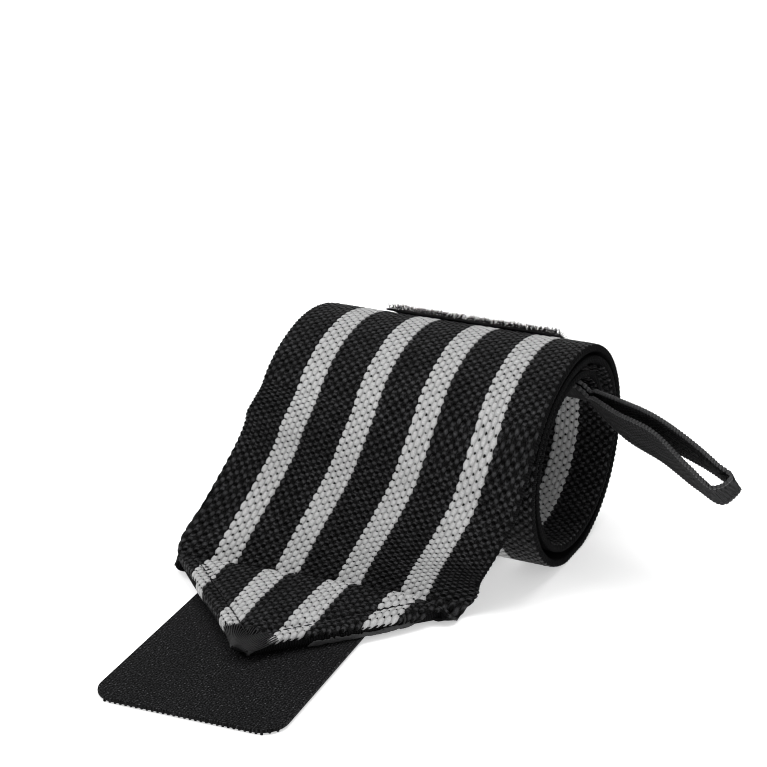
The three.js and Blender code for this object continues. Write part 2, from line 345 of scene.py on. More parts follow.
def band_ribbon(size):
    """The band's upper face from its tip to the inner end of the roll; s is 0 at the seam."""
    s, rows = band_profile(size)
    place = np.column_stack([band_offset(size, s), rows])
    sideways = (band_offset(size, s + PATH_STEP) - band_offset(size, s - PATH_STEP)) / 2
    way = np.column_stack([sideways, np.gradient(rows, axis=0)])
    kernel = np.ones(5) / 5
    padded = np.vstack([way[:2], way, way[-2:]])
    way = unit(np.stack([np.convolve(padded[:, k], kernel, "valid") for k in range(3)], -1))
    half_drift = size.drift_length / 2
    fade = np.where(s < 0, 1 + s / size.point_length, 1 - smooth(s, 0, half_drift))
    angle = size.seam_turn * np.maximum(fade, 0)
    across = np.column_stack([np.cos(angle), np.sin(angle), 0 * angle])
    lowered = 1 - smooth(np.maximum(s, 0), 0, half_drift)
    square = size.drift_shear * (1 - lowered)
    side = unit(across - (square * (across * way).sum(1))[:, None] * way)
    out = unit(np.cross(side, way))
    half = band_half(size, s)
    doubled = 1 - smooth(s, -size.seam_blend, 0)
    thick = size.band_thickness * (1 + doubled * (1 - 0.5 * past_tip(size, s)))
    beyond = smooth(half, size.tab_width / 2 + 2 * size.tab_overhang, size.band_width / 2)
    flare = size.corner_flare * hill(s, 3 * MM, 7.5 * MM)
    return Ribbon(s, place, side, out, half, thick, size.tab_thickness * lowered * beyond, flare)


def along_roll(size, turn):
    """The length s at which the band reaches a turn of the roll, in degrees."""
    s = band_profile(size)[0]
    return s[-1] - roll_arc(size, WINDINGS[-1][0]) + roll_arc(size, turn)


def gathered(size, s):
    """Lengths along the knit, counted from the seam, as lengths along the path: the slope is gathered."""
    step = 0.2 * MM
    knit = np.arange(-0.1, 0.7, step)
    fading = 1 - smooth(knit, size.gather_start, size.gather_end)
    kept = 1 - (1 - size.gather_share) * smooth(knit, 0, 4 * MM) * fading
    path = np.cumsum(kept) * step
    path = path - np.interp(0, knit, path)
    return np.interp(s, knit, path)


def wrapped(from_edge, radius, height):
    """Places across a rounded edge: how far in from the edge, and how high above the level face."""
    angle = np.clip((radius - from_edge) / radius, 0, 0.8 * math.pi)
    round_in = radius - (radius + height) * np.sin(angle)
    round_up = (radius + height) * np.cos(angle) - radius
    return np.where(angle > 0, round_in, from_edge), np.where(angle > 0, round_up, height)


def bullnose(from_edge, radius):
    """The share of its thickness that a cloth keeps at a distance in from its rounded edge."""
    inside = 1 - np.clip(from_edge / radius, 0, 1)
    return np.sqrt(1 - inside**2)


def sagging(size, ribbon, u, s):
    """How far the band hangs down beside the tab, more on its right side."""
    left_share = 0.35
    fold_width = 9 * MM
    half = ribbon.at(ribbon.half, s)
    level = np.minimum(size.tab_width / 2 + size.tab_overhang, half * 0.9)
    droop = ribbon.at(ribbon.sag, s) * np.clip((np.abs(u) - level) / (half - level), 0, 1)
    free_side = smooth(s, -38 * MM, -14 * MM) * (1 - smooth(s, 0, 12 * MM))
    fall = size.side_fall * free_side * smooth(u, half - fold_width, half)
    return np.where(u > 0, droop + fall, left_share * droop)


def relief(size, ribbon, u, s):
    """Height of the band's upper face over its path: the drooping corners and the puffed, sewn point."""
    puff_height, hem_depth, seam_depth = 1.0 * MM, 0.55 * MM, 0.6 * MM
    hem_spread, seam_spread = 0.9 * MM, 1.0 * MM
    half = ribbon.at(ribbon.half, s)
    droop = sagging(size, ribbon, u, s)
    slant = math.cos(math.atan2((size.band_width - size.tip_width) / 2, size.point_length))
    inside = np.maximum((half - np.abs(u)) * slant, 0)
    on_point = 1 - smooth(s, -5 * MM, -1.5 * MM)
    sewn = hill(inside, size.hem_inset, hem_spread)
    puff = smooth(inside, size.hem_inset, 3 * size.hem_inset) * smooth(-s, 0, 7 * MM)
    seam = hill(s, SEAM_LINE, seam_spread)
    return -droop + on_point * (puff_height * puff - hem_depth * sewn) - seam_depth * seam


def above_floor(points, least=0.2 * MM):
    """Points that are lifted to a least height over the floor."""
    points[:, 2] = np.maximum(points[:, 2], least)
    return points


def upper_face(size, ribbon, flat):
    """Flat points of the upper face, carried round the edges and raised by the relief."""
    u, s, h = np.asarray(flat, float).T
    behind, raised = wrapped(s - ribbon.s[0], size.band_thickness, h)
    s = ribbon.s[0] + behind
    half = ribbon.at(ribbon.half, s)
    radius = size.band_thickness * (1 - 0.5 * smooth(s, -10 * MM, 0))
    inward, height = wrapped(half - np.abs(u), radius, h)
    lift = relief(size, ribbon, np.clip(u, -half, half), s) + raised - h
    return above_floor(ribbon.lay(np.column_stack([np.sign(u) * (half - inward), s, height + lift])))


def lower_face(size, ribbon, flat):
    """Flat points of the lower face; h counts away from the cloth."""
    u, s, h = np.asarray(flat, float).T
    half = ribbon.at(ribbon.half, s)
    thick = ribbon.at(ribbon.thick, s)
    inward, height = wrapped(half - np.abs(u), thick / 2, h)
    lift = relief(size, ribbon, np.clip(u, -half, half), s) * (s > 0)
    flat = np.column_stack([np.sign(u) * (half - inward), s, lift - thick - height])
    return above_floor(ribbon.lay(flat))


# Mesh helpers


def link_mesh(name, mesh):
    """A smooth shaded object at the origin with a given mesh."""
    mesh.shade_smooth()
    obj = bpy.data.objects.new(name, mesh)
    bpy.context.scene.collection.objects.link(obj)
    return obj


def new_object(name, bm):
    """An object at the origin from a bmesh, which is freed."""
    mesh = bpy.data.meshes.new(name)
    bmesh.ops.recalc_face_normals(bm, faces=bm.faces)
    bm.to_mesh(mesh)
    bm.free()
    return link_mesh(name, mesh)


def finish_piece(obj, material):
    """Gives a piece its material and the body that it rides on."""
    obj.data.materials.clear()
    obj.data.materials.append(material)
    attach(obj, "root")
    return obj


def get_points(mesh):
    """A mesh's vertices as rows of x, y, z."""
    points = np.empty(len(mesh.vertices) * 3, np.float32)
    mesh.vertices.foreach_get("co", points)
    return points.reshape(-1, 3).astype(float)


def set_points(mesh, points):
    """Moves a mesh's vertices to new places."""
    mesh.vertices.foreach_set("co", np.asarray(points, np.float32).ravel())
    mesh.update()


def write_uv(mesh, flat):
    """A UV map that holds the flat place (across, along) of each corner in millimetres."""
    layer = mesh.uv_layers.new(name=KNIT_UV)
    corners = np.empty(len(mesh.loops), np.int32)
    mesh.loops.foreach_get("vertex_index", corners)
    layer.data.foreach_set("uv", (flat[corners][:, :2] / MM).astype(np.float32).ravel())


def arrayed(bm, counts, steps):
    """The mesh of a small bmesh repeated by Array modifiers, one for each count and step."""
    obj = new_object("pattern", bm)
    for count, step in zip(counts, steps):
        modifier = obj.modifiers.new("repeat", "ARRAY")
        modifier.count = count
        modifier.use_relative_offset = False
        modifier.use_constant_offset = True
        modifier.constant_offset_displace = step
    evaluated = obj.evaluated_get(bpy.context.evaluated_depsgraph_get())
    mesh = bpy.data.meshes.new_from_object(evaluated)
    pattern = obj.data
    bpy.data.objects.remove(obj)
    bpy.data.meshes.remove(pattern)
    return mesh


def keep_islands(bm, keep, each):
    """Removes the repeated parts, of so many vertices each, that a mask doesn't keep."""
    bm.verts.ensure_lookup_table()
    unwanted = [bm.verts[i] for k in np.flatnonzero(~keep) for i in range(k * each, (k + 1) * each)]
    bmesh.ops.delete(bm, geom=unwanted, context="VERTS")


def slab(bm, columns, rows):
    """A closed flat slab of unit size with its top at height 1 and its bottom at height 0."""
    bmesh.ops.create_grid(bm, x_segments=columns, y_segments=rows, size=0.5)
    made = bmesh.ops.extrude_face_region(bm, geom=bm.faces[:])
    top = [v for v in made["geom"] if isinstance(v, bmesh.types.BMVert)]
    bmesh.ops.translate(bm, verts=top, vec=(0, 0, 1))


def ribbon_slab(name, ribbon, span, columns, rows, round_columns, inset=0.0):
    """A closed cloth with rounded edges. Returns it with u, s, h and the thickness at each vertex."""
    bm = bmesh.new()
    slab(bm, columns, rows)
    obj = new_object(name, bm)
    points = get_points(obj.data)
    column = np.rint((points[:, 0] + 0.5) * columns)
    s = span[0] + (points[:, 1] + 0.5) * (span[1] - span[0])
    thick = ribbon.at(ribbon.thick, s) - 2 * inset
    half = ribbon.at(ribbon.half, s) - inset
    radius = thick / 2
    from_end = np.minimum(column, columns - column)
    sign = np.where(column < columns / 2, -1, 1)
    angle = np.clip(1 - from_end / round_columns, 0, 1) * math.pi / 2
    flat_share = 1 - np.clip((from_end - round_columns) / (columns / 2 - round_columns), 0, 1)
    u = sign * np.where(angle > 0, half - radius + radius * np.sin(angle), (half - radius) * flat_share)
    h = np.where(points[:, 2] > 0.5, 1, -1) * radius * np.cos(angle)
    return obj, u, s, h, thick


def weld(obj, distance=0.01 * MM):
    """Merges an object's vertices that lie in one place."""
    bm = bmesh.new()
    bm.from_mesh(obj.data)
    bmesh.ops.remove_doubles(bm, verts=bm.verts, dist=distance)
    bm.to_mesh(obj.data)
    bm.free()


# Materials


class Nodes:
    """A short way to write a material's nodes."""

    def __init__(self, name, colour_value, roughness, specular=0.5):
        self.material = bpy.data.materials.new(name)
        self.material.use_nodes = True
        self.tree = self.material.node_tree
        self.tree.nodes.clear()
        self.shader = self.add("ShaderNodeBsdfPrincipled")
        self.set(self.shader, "Base Color", (*colour_value, 1))
        self.set(self.shader, "Roughness", roughness)
        self.set(self.shader, "Specular IOR Level", specular)
        output = self.add("ShaderNodeOutputMaterial")
        self.link(self.shader, "BSDF", output, "Surface")

    def add(self, kind, **values):
        """A new node with some of its settings."""
        node = self.tree.nodes.new(kind)
        for key, value in values.items():
            setattr(node, key, value)
        return node

    def set(self, node, socket, value):
        """Gives a node's input its value."""
        node.inputs[socket].default_value = value

    def link(self, start, out, end, into):
        """Links an output of one node to an input of another."""
        self.tree.links.new(start.outputs[out], end.inputs[into])

    def flat_place(self):
        """The piece's own flat place, in millimetres."""
        return self.add("ShaderNodeUVMap", uv_map=KNIT_UV), "UV"

    def object_place(self):
        """The place in the piece's own space, in metres."""
        return self.add("ShaderNodeTexCoord"), "Object"

    def scaled(self, source, scale, turn=0.0):
        """A place that is turned and scaled."""
        mapping = self.add("ShaderNodeMapping")
        self.set(mapping, "Scale", scale)
        self.set(mapping, "Rotation", (0, 0, turn))
        self.link(*source, mapping, "Vector")
        return mapping, "Vector"

    def noise(self, source, scale, detail=2.0, roughness=0.6):
        """Plain noise, most of it between 0.3 and 0.7."""
        node = self.add("ShaderNodeTexNoise")
        self.set(node, "Scale", scale)
        self.set(node, "Detail", detail)
        self.set(node, "Roughness", roughness)
        self.link(*source, node, "Vector")
        return node, "Fac"

    def uneven(self, source, scale, low, high, detail=2.0, roughness=0.6):
        """Noise that is spread from low to high."""
        return self.remap(self.noise(source, scale, detail, roughness), 0.3, 0.7, low, high)

    def wave(self, source, scale, distortion=0.0, direction="X"):
        """Soft bands across one direction."""
        node = self.add("ShaderNodeTexWave", wave_type="BANDS", bands_direction=direction)
        self.set(node, "Scale", scale)
        self.set(node, "Distortion", distortion)
        self.set(node, "Detail", 2.0)
        self.set(node, "Detail Scale", 2.0)
        self.link(*source, node, "Vector")
        return node, "Fac"

    def remap(self, source, low, high, to_low, to_high):
        """A value between low and high, moved to between two others."""
        node = self.add("ShaderNodeMapRange")
        self.set(node, "From Min", low)
        self.set(node, "From Max", high)
        self.set(node, "To Min", to_low)
        self.set(node, "To Max", to_high)
        self.link(*source, node, "Value")
        return node, "Result"

    def math(self, operation, first, second=0.0):
        """The result of a Math node on two values, each a number or another node's output."""
        node = self.add("ShaderNodeMath", operation=operation)
        for k, value in enumerate((first, second)):
            if isinstance(value, tuple):
                self.link(*value, node, k)
            else:
                node.inputs[k].default_value = value
        return node, "Value"

    def shade(self, colour_value, factor):
        """The base colour times a factor that changes over the piece."""
        node = self.add("ShaderNodeVectorMath", operation="SCALE")
        self.set(node, "Vector", colour_value)
        self.link(*factor, node, "Scale")
        self.link(node, "Vector", self.shader, "Base Color")

    def bump(self, height, distance, strength=1.0, below=None):
        """Fine relief on the surface, over that of another bump node."""
        node = self.add("ShaderNodeBump")
        self.set(node, "Strength", strength)
        self.set(node, "Distance", distance)
        self.link(*height, node, "Height")
        if below:
            self.link(below, "Normal", node, "Normal")
        self.link(node, "Normal", self.shader, "Normal")
        return node


def lattice(nodes, size, place, bumps):
    """Places within a cell of the knit's staggered lattice, from -0.5 to 0.5."""
    above_zero = 64.0
    split = nodes.add("ShaderNodeSeparateXYZ")
    nodes.link(*place, split, "Vector")
    row = nodes.math("DIVIDE", (split, "X"), size.row_pitch / MM)
    odd = nodes.math("PINGPONG", nodes.math("FLOOR", row), 1.0)
    step = nodes.math("DIVIDE", (split, "Y"), size.stitch_pitch / MM / bumps)
    step = nodes.math("SUBTRACT", step, nodes.math("MULTIPLY", odd, 0.5))
    step = nodes.math("ADD", step, above_zero)
    across = nodes.math("SUBTRACT", nodes.math("FRACT", row), 0.5)
    return across, nodes.math("SUBTRACT", nodes.math("FRACT", step), 0.5)


def squares(nodes, across, along, wide, long):
    """How far out a place lies in an oval of half width and length given as shares of the cell."""
    first = nodes.math("POWER", nodes.math("DIVIDE", across, wide), 2.0)
    second = nodes.math("POWER", nodes.math("DIVIDE", along, long), 2.0)
    return nodes.math("ADD", first, second)


def pinholes(nodes, size, place, wide, long):
    """A mask of small dark holes where the stitches of a row meet, on the lattice of the knit."""
    across, along = lattice(nodes, size, place, 1)
    joint = nodes.math("SUBTRACT", 0.5, nodes.math("ABSOLUTE", along))
    ragged = nodes.uneven(place, 0.75, 0.15, -0.9, detail=1.0)
    reach = nodes.math("ADD", squares(nodes, across, joint, wide, long), ragged)
    return nodes.remap(reach, 0.35, 1.35, 0.03, 1.0)


def yarn_material(size, name, colour_value, roughness, contrast, hole, bumps, crown_highlight, border_shade):
    """Plied textured yarn: a painted highlight on the stitches' crowns and painted shade at their
    borders, pinholes, fibres, changes of tone.
    """
    nodes = Nodes(name, colour_value, roughness, specular=0.09)
    place = nodes.flat_place()
    fine = 2.4 * contrast
    tone = nodes.uneven(place, 0.11, 1 - contrast, 1 + contrast)
    speck = nodes.uneven(place, 2.6, 1 - fine, 1 + fine, detail=3.0, roughness=0.8)
    factor = nodes.math("MULTIPLY", tone, speck)
    factor = nodes.math("MULTIPLY", factor, pinholes(nodes, size, place, *hole))
    # Painted highlight and painted shade: each stitch's crown is made lighter and its border darker, as
    # light falls on the mounds.
    across, along = lattice(nodes, size, place, bumps)
    spread = nodes.uneven(place, 1.2, -0.3, 0.3)
    outward = nodes.math("ADD", squares(nodes, across, along, 0.5, 0.5), spread)
    factor = nodes.math("MULTIPLY", factor, nodes.remap(outward, 0.0, 1.3, crown_highlight, border_shade))
    nodes.shade(colour_value, factor)
    plies = nodes.wave(nodes.scaled(place, (1, 0.55, 1), math.radians(32)), 1.5, 2.4)
    fibres = nodes.noise(nodes.scaled(place, (2.4, 0.7, 1), math.radians(24)), 5.0, 3.0, 0.75)
    swell = nodes.remap(outward, 0.0, 1.3, crown_highlight - border_shade, 0.0)
    first = nodes.bump(swell, 0.09 * MM, 0.9)
    second = nodes.bump(plies, 0.09 * MM, 0.8, first)
    nodes.bump(fibres, 0.1 * MM, 1.0, second)
    return nodes.material


def ground_material(colours):
    """The knit's ground between the stitches, with the ribs of its selvages."""
    nodes = Nodes("knit_ground", colours.ground, 0.95, specular=0.06)
    place = nodes.flat_place()
    ribs = nodes.wave(place, 0.62, 1.2, "Y")
    rows = nodes.wave(place, 0.75, 1.6, "X")
    nodes.shade(colours.ground, nodes.remap(ribs, 0.0, 1.0, 0.7, 2.4))
    nodes.bump(nodes.math("ADD", ribs, rows), 0.22 * MM, 0.9)
    return nodes.material


def hook_tape_material(colours):
    """A fine woven tape: a dotted matte weave with a few lighter specks."""
    nodes = Nodes("hook_tape_weave", colours.hook_tape, 0.78, specular=0.07)
    place = nodes.flat_place()
    weave = nodes.math("MULTIPLY", nodes.wave(place, 0.42, 1.8, "X"), nodes.wave(place, 0.42, 1.8, "Y"))
    grit = nodes.noise(place, 2.2, 2.0, 0.6)
    specks = nodes.remap(nodes.noise(place, 1.5, 1.0, 0.4), 0.58, 0.72, 1.0, 3.6)
    tone = nodes.uneven(place, 0.05, 0.88, 1.12)
    lit = nodes.remap(grit, 0.4, 0.66, 0.02, 3.6)
    lit = nodes.math("MULTIPLY", lit, nodes.remap(weave, 0.0, 0.6, 0.5, 1.6))
    nodes.shade(colours.hook_tape, nodes.math("MULTIPLY", nodes.math("MULTIPLY", lit, specks), tone))
    first = nodes.bump(weave, 0.16 * MM, 0.9)
    nodes.bump(grit, 0.2 * MM, 0.9, first)
    return nodes.material


def pile_material(colours):
    """Brushed pile: matte fibres with a faint lustre."""
    nodes = Nodes("pile_fibre", colours.pile, 0.9, specular=0.1)
    place = nodes.object_place()
    nodes.shade(colours.pile, nodes.uneven(place, 160.0, 0.7, 1.5))
    nodes.bump(nodes.noise(place, 2600.0, 3.0, 0.7), 0.2 * MM, 0.8)
    return nodes.material


def webbing_material(colours):
    """Ribbed elastic webbing: matte yarn with a painted highlight on the rib crowns and painted shade
    between them.
    """
    nodes = Nodes("webbing_ribs", colours.webbing, 0.8, specular=0.14)
    place = nodes.flat_place()
    yarn = nodes.noise(nodes.scaled(place, (1.2, 3.0, 1)), 2.6, 3.0, 0.7)
    plies = nodes.wave(place, 0.42, 0.9, "X")
    ribs = nodes.wave(place, 0.2856, 0.3, "Y")
    # Painted highlight and shade: the colour rises on each rib's crown and falls between the ribs.
    lit = nodes.math("MULTIPLY", nodes.math("ADD", yarn, plies), nodes.remap(ribs, 0.0, 1.0, 0.45, 1.35))
    nodes.shade(colours.webbing, nodes.remap(lit, 0.2, 1.5, 0.2, 2.6))
    nodes.bump(nodes.math("ADD", yarn, plies), 0.14 * MM, 0.9)
    return nodes.material


def thread_material(name, colour_value):
    """Twisted polyester thread with a slight lustre."""
    nodes = Nodes(name, colour_value, 0.45, specular=0.3)
    twist = nodes.wave(nodes.scaled(nodes.object_place(), (1, 1, 1), math.radians(40)), 900.0, 1.0)
    nodes.shade(colour_value, nodes.remap(twist, 0.0, 1.0, 0.7, 1.6))
    nodes.bump(twist, 0.05 * MM, 0.6)
    return nodes.material


def material_of(name, make):
    """A material by its name, made on its first use."""
    return bpy.data.materials.get(name) or make()


# The knit band


def make_ground(size, colours):
    """The band's dark ground: one closed cloth from the tip to the inner end."""
    ribbon = band_ribbon(size)
    span = (ribbon.s[0], ribbon.s[-1])
    rows = int((span[1] - span[0]) / PATH_STEP)
    rib_depth, rib_spacing = 0.11 * MM, 1.6 * MM
    obj, u, s, h, thick = ribbon_slab("knit_ground", ribbon, span, 30, rows, 5, size.knit_inset)
    whole = ribbon.at(ribbon.thick, s)
    half = ribbon.at(ribbon.half, s)
    plain = smooth(np.abs(u), half - 2.2 * size.selvage, half - size.selvage) * smooth(s, 4 * MM, 16 * MM)
    ribs = rib_depth * np.cos(2 * math.pi * s / rib_spacing) * plain
    u = u + np.sign(u) * (size.knit_inset + ribs) * plain
    h = h * (1 + plain * (whole / thick - 1)) + np.sign(h) * ribs
    h = h * bullnose(s - span[0], size.band_thickness)
    within = np.clip(u, -half, half)
    lift = np.where(h > 0, relief(size, ribbon, within, s), -sagging(size, ribbon, within, s))
    laid = above_floor(ribbon.lay(np.column_stack([u, s, h - whole / 2 + lift])), 0.3 * MM)
    write_uv(obj.data, np.column_stack([u, s]))
    set_points(obj.data, laid)
    weld(obj)
    return finish_piece(obj, material_of("knit_ground", lambda: ground_material(colours)))


def mound(size):
    """One stitch: the upper half of a long rounded mound."""
    bm = bmesh.new()
    bmesh.ops.create_uvsphere(bm, u_segments=8, v_segments=6, radius=1)
    whole = [*bm.verts, *bm.edges, *bm.faces]
    cut = bmesh.ops.bisect_plane(
        bm, geom=whole, plane_co=(0, 0, -0.01), plane_no=(0, 0, -1), clear_outer=True
    )
    if not cut["geom"]:
        raise RuntimeError("the stitch mound wasn't cut")
    bmesh.ops.scale(bm, verts=bm.verts, vec=(size.stitch_width, size.stitch_length, size.stitch_height))
    return bm


def stitch_field(size, groups, span):
    """Flat stitches of some groups of rows over a stretch of the band, and how many vertices each has."""
    field = bmesh.new()
    count = int((span[1] - span[0]) / size.stitch_pitch)
    each = 0
    for first, rows in groups:
        for parity in (0, 1):
            row_count = (rows + 1 - parity) // 2
            bm = mound(size)
            each = len(bm.verts)
            row = first + parity
            stagger = 0.5 * (row % 2)
            across = (row + 0.5) * size.row_pitch
            along = span[0] + (0.5 + stagger) * size.stitch_pitch
            bmesh.ops.translate(bm, verts=bm.verts, vec=(across, along, 0))
            steps = ((0, size.stitch_pitch, 0), (2 * size.row_pitch, 0, 0))
            mesh = arrayed(bm, (count, row_count), steps)
            field.from_mesh(mesh)
            bpy.data.meshes.remove(mesh)
    return field, each


def ruffle(flat, each, amount, seed):
    """Small changes of place, length and height from stitch to stitch."""
    random = np.random.default_rng(seed)
    stitches = flat.reshape(-1, each, 3)
    middle = stitches.mean(1, keepdims=True) * (1, 1, 0)
    change = 1 + amount * random.uniform(-1, 1, (len(stitches), 1, 3))
    shift = amount * 0.6 * MM * random.uniform(-1, 1, (len(stitches), 1, 3)) * (1, 1, 0)
    return ((stitches - middle) * change + middle + shift).reshape(-1, 3)


def stitch_piece(size, name, groups, spans, face, keep, material, seed):
    """A piece of real stitches laid on one face of the band."""
    ribbon = band_ribbon(size)
    field = bmesh.new()
    each = 0
    for span in spans:
        part, each = stitch_field(size, groups, span)
        mesh = bpy.data.meshes.new("part")
        part.to_mesh(mesh)
        part.free()
        field.from_mesh(mesh)
        bpy.data.meshes.remove(mesh)
    middles = np.array([v.co[:] for v in field.verts]).reshape(-1, each, 3).mean(1)
    keep_islands(field, keep(ribbon, middles[:, 0], gathered(size, middles[:, 1])), each)
    mesh = bpy.data.meshes.new(name)
    field.to_mesh(mesh)
    field.free()
    knit = get_points(mesh)
    write_uv(mesh, knit)
    flat = ruffle(knit, each, 0.09, seed)
    flat[:, 1] = gathered(size, flat[:, 1])
    flat[:, 2] -= size.knit_inset
    set_points(mesh, face(size, ribbon, flat))
    if face is lower_face:
        mesh.flip_normals()
    return finish_piece(link_mesh(name, mesh), material)


def outer_keep(size):
    """Which stitches of the outer face stay: those on the cloth and not under the pile patch."""
    patch_start = along_roll(size, 0) + size.patch_setback
    patch_end = patch_start + size.patch_length
    outer_end = along_roll(size, OUTER_END)
    round_fold = 0.8 * MM
    under_patch = 1 * MM
    tack_spread = 9 * MM

    def keep(ribbon, u, s):
        half = ribbon.at(ribbon.half, s)
        edge = half + round_fold - (round_fold + size.selvage) * smooth(s, 2 * MM, 12 * MM)
        on_cloth = np.abs(u) < edge
        near = np.abs(u - size.patch_shift) < size.patch_width / 2 - under_patch
        covered = near & (s > patch_start + under_patch) & (s < patch_end - under_patch)
        tack_share = 0.72 - 0.4 * np.clip(u / tack_spread, 0, 1)
        tacked = s < size.tack_depth * tack_share - size.point_length
        return on_cloth & ~covered & ~tacked & (s < outer_end)

    return keep


def inner_keep(size):
    """Which stitches of the inner face stay: under the slope, and on the last winding."""
    turns = (SLOPE_END, LAST_WINDING_START, LAST_WINDING_END)
    slope_end, start, end = (along_roll(size, turn) for turn in turns)

    def keep(ribbon, u, s):
        on_cloth = np.abs(u) < ribbon.at(ribbon.half, s) - size.selvage
        return on_cloth & ((s < slope_end) | (s > start)) & (s < end)

    return keep


def make_stitches(size, colours):
    """All stitches: the outer face from the tip round the roll, and the inner face where it shows."""
    # The last two numbers of each yarn set the painted highlight on the stitches' crowns and the painted
    # shade at their borders.
    black = yarn_material(
        size,
        "yarn_black",
        colours.black_yarn,
        roughness=0.45,
        contrast=0.3,
        hole=(0.36, 0.24),
        bumps=2,
        crown_highlight=3.9,
        border_shade=0.02,
    )
    grey = yarn_material(
        size,
        "yarn_grey",
        colours.grey_yarn,
        roughness=0.8,
        contrast=0.06,
        hole=(0.17, 0.1),
        bumps=1,
        crown_highlight=1.12,
        border_shade=0.74,
    )
    period = size.stitch_pitch
    point_stitches = 16
    slack = (1 - size.gather_share) / size.gather_share * size.gather_start
    outer = [(-point_stitches * period, along_roll(size, OUTER_END) + slack)]
    last_winding = math.floor(along_roll(size, LAST_WINDING_START) / period) * period
    inner = [
        (period, along_roll(size, SLOPE_END) + slack),
        (last_winding, along_roll(size, LAST_WINDING_END) + slack),
    ]
    outer_kept, inner_kept = outer_keep(size), inner_keep(size)
    yarns = (("black", BLACK_GROUPS, black), ("grey", GREY_GROUPS, grey))
    pieces = []
    for seed, (yarn, groups, material) in enumerate(yarns):
        name = f"stitches_outer_{yarn}"
        pieces.append(stitch_piece(size, name, groups, outer, upper_face, outer_kept, material, seed))
        name = f"stitches_inner_{yarn}"
        pieces.append(stitch_piece(size, name, groups, inner, lower_face, inner_kept, material, seed + 2))
    return pieces


# Sewing


def thread_row(name, ribbon, lay, places, ways, stitch, radius, material, lift=0.0, rings=8):
    """Rounded stitches of thread at flat places (u, s), each along its way and lifted at its middle."""
    bm = bmesh.new()
    bmesh.ops.create_uvsphere(bm, u_segments=8, v_segments=rings, radius=1)
    bmesh.ops.rotate(bm, verts=bm.verts, matrix=Matrix.Rotation(math.pi / 2, 3, "X"))
    bmesh.ops.scale(bm, verts=bm.verts, vec=(radius, stitch / 2, radius))
    each = len(bm.verts)
    mesh = arrayed(bm, (len(places),), ((0, 1, 0),))
    local = get_points(mesh).reshape(-1, each, 3) - np.arange(len(places))[:, None, None] * (0, 1, 0)
    along = np.abs(local[:, :, 1:2]) / (stitch / 2)
    fuller = np.maximum(1 - along**2, 1e-3) ** -0.3
    local = local * np.where([True, False, True], fuller, 1)
    ways = unit(np.asarray(ways, float))[:, None, :]
    across = local[:, :, :1] * np.stack([ways[..., 1], -ways[..., 0]], -1)
    flat = np.asarray(places, float)[:, None, :] + across + local[:, :, 1:2] * ways
    arch = 1 - (local[:, :, 1:2] / (stitch / 2)) ** 2
    height = local[:, :, 2:] + lift * (0.35 + 0.65 * arch)
    mesh.name = name
    set_points(mesh, lay(ribbon, np.concatenate([flat, height], -1).reshape(-1, 3)))
    return finish_piece(link_mesh(name, mesh), material)


def line_places(start, end, pitch):
    """Places along a straight flat line, and its way at each."""
    start, end = np.array(start), np.array(end)
    count = max(int(np.linalg.norm(end - start) / pitch), 2)
    places = start + (end - start) * (np.arange(count)[:, None] + 0.5) / count
    return places, np.tile(end - start, (count, 1))


def satin_tack(size, ribbon, lay, material):
    """The satin stitches that bind the tip: long threads side by side, shorter on its right side."""
    in_front = 0.15 * size.band_thickness
    past_side = 0.2 * MM
    count = int(2 * ribbon.at(ribbon.half, size.tack_depth - size.point_length) / size.tack_pitch)
    share_across = (np.arange(count) + 0.5) / count * 2 - 1
    start = np.full(count, ribbon.s[0] - in_front)
    end = size.tack_depth * (0.82 - 0.35 * np.clip(share_across, 0, 1)) - size.point_length
    first = np.column_stack([share_across * (ribbon.at(ribbon.half, start) + past_side), start])
    last = np.column_stack([share_across * (ribbon.at(ribbon.half, end) + past_side), end])
    ways = last - first
    stitch = np.linalg.norm(ways, axis=1).mean()
    middle = (first + last) / 2
    radius = 0.85 * size.thread_radius
    return thread_row("tip_tack", ribbon, lay, middle, ways, stitch, radius, material, 0.1 * MM, 32)


def seam_lines(size):
    """Places and ways of the sewing across the band and along both folded diagonals."""
    half = size.band_width / 2
    tip = size.tip_width / 2
    sewn = half - 4.5 * MM
    places, ways = line_places((-sewn, SEAM_LINE), (sewn, SEAM_LINE), SEWING_PITCH)
    inset = size.hem_inset / math.cos(point_slope(size))
    for sign in (-1, 1):
        start = (sign * (half - inset - 1.5 * MM), -size.seam_blend - 1.5 * MM)
        end = (sign * max(tip - inset + 2.5 * MM, 0.5 * MM), -size.point_length + 2.5 * MM)
        more, more_ways = line_places(start, end, SEWING_PITCH)
        places = np.vstack([places, more])
        ways = np.vstack([ways, more_ways])
    return places, ways


def point_slope(size):
    """The angle by which the point's edges run inwards."""
    narrowing = (size.band_width - size.tip_width) / 2
    return math.atan2(narrowing, size.point_length - size.seam_blend)


def frayed_edge(size, ribbon, lay, material):
    """The cut edge that shows below the right fold: short loose threads side by side."""
    random = np.random.default_rng(5)
    s = np.arange(-0.75 * size.point_length, -0.27 * size.point_length, 0.16 * MM)
    u = ribbon.at(ribbon.half, s) + random.uniform(1.7, 2.8, len(s)) * MM
    turn = point_slope(size) + random.uniform(-0.5, 0.5, len(s))
    ways = np.column_stack([np.sin(turn), np.cos(turn)])
    places = np.column_stack([u, s])
    radius = size.thread_radius
    return thread_row("frayed_edge", ribbon, lay, places, ways, 1.7 * MM, radius, material, 0.2 * MM)


